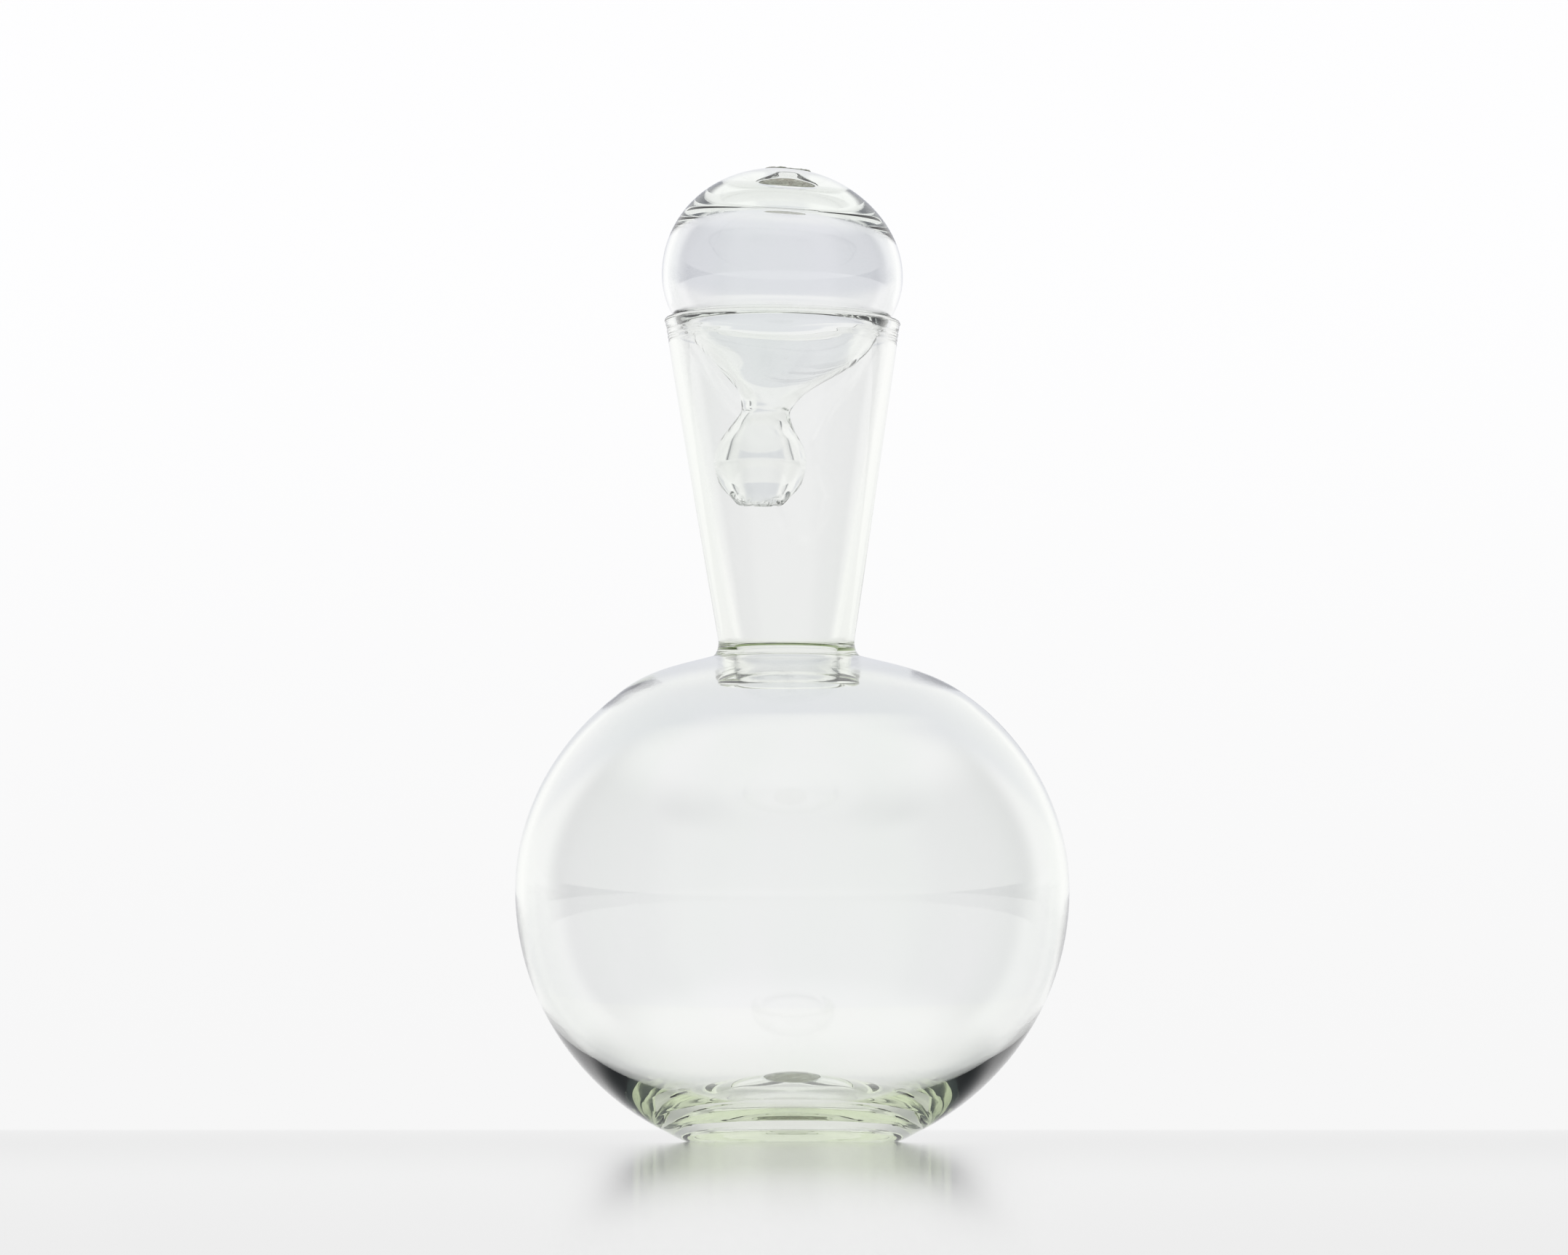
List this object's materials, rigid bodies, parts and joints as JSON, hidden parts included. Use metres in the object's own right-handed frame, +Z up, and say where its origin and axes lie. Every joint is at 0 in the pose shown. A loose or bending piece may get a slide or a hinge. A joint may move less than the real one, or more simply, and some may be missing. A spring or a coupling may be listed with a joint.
{
  "type": "decanter flask",
  "caption": "Hand-blown clear glass decanter with a round bowl, a conical neck open at the top and a loose hollow ball stopper that lifts off.",
  "frame": {"origin": "on the table, under the centre of the round bowl", "axes": "+Z up, along the bowl's axis; the neck leans slightly towards -X; -Y is the front"},
  "size_m": [0.1702, 0.1702, 0.3001],
  "materials": {
    "clear_glass": "fire-polished, faintly green",
    "thick_glass": "fire-polished, green where it is thick",
    "torn_glass": "rough, where the pontil iron was broken off"
  },
  "bodies": {
    "flask": {"bowl": "clear_glass", "base_punt": "thick_glass", "base_pontil_scar": "torn_glass", "neck_collar": "thick_glass", "neck": "clear_glass"},
    "stopper": {"stopper_ball": "clear_glass", "stopper_funnel": "clear_glass", "stopper_drop": "clear_glass", "stopper_pontil_scar": "torn_glass"}
  },
  "joints": [
    {"name": "stopper_lift", "type": "slide", "parent": "flask", "child": "stopper", "axis": [-0.0122, 0, 0.9999], "range_m": [0, 0.1]}
  ]
}
